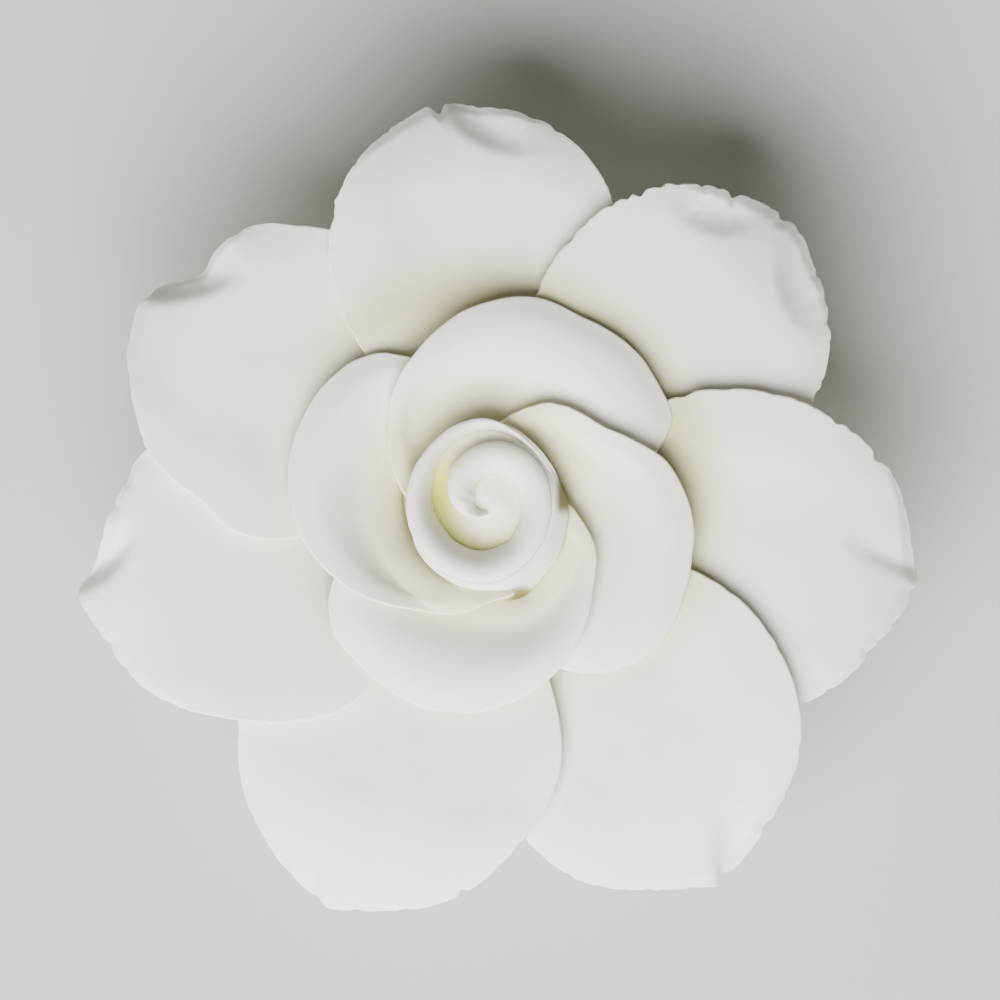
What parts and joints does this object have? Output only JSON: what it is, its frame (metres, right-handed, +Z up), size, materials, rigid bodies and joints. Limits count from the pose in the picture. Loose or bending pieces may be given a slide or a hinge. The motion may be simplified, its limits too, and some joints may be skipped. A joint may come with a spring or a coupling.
{
  "type": "gardenia flower",
  "caption": "Cut gardenia bloom of matt ivory modelling paste: a spiral rolled bud inside a cupped whorl and a wide outer whorl of round, pinched petals, resting on a flat foot.",
  "frame": {"origin": "centre of the flat foot under the cone, on the flower's axis, which is the mount named foot", "axes": "+Z up along the flower's axis, away from the surface it rests on; +Y towards the first outer petal"},
  "size_m": [0.0898, 0.0862, 0.0312],
  "materials": {
    "ivory_paste": "matt, slightly translucent modelling paste",
    "tinted_paste": "matt modelling paste, tinted pale yellow-green"
  },
  "bodies": {
    "root": {"cone": "tinted_paste", "bud_roll": "ivory_paste", "middle_petal_1": "ivory_paste", "middle_petal_2": "ivory_paste", "middle_petal_3": "ivory_paste", "middle_petal_4": "ivory_paste", "outer_petal_1": "ivory_paste", "outer_petal_2": "ivory_paste", "outer_petal_3": "ivory_paste", "outer_petal_4": "ivory_paste", "outer_petal_5": "ivory_paste", "outer_petal_6": "ivory_paste", "outer_petal_7": "ivory_paste"}
  },
  "joints": []
}
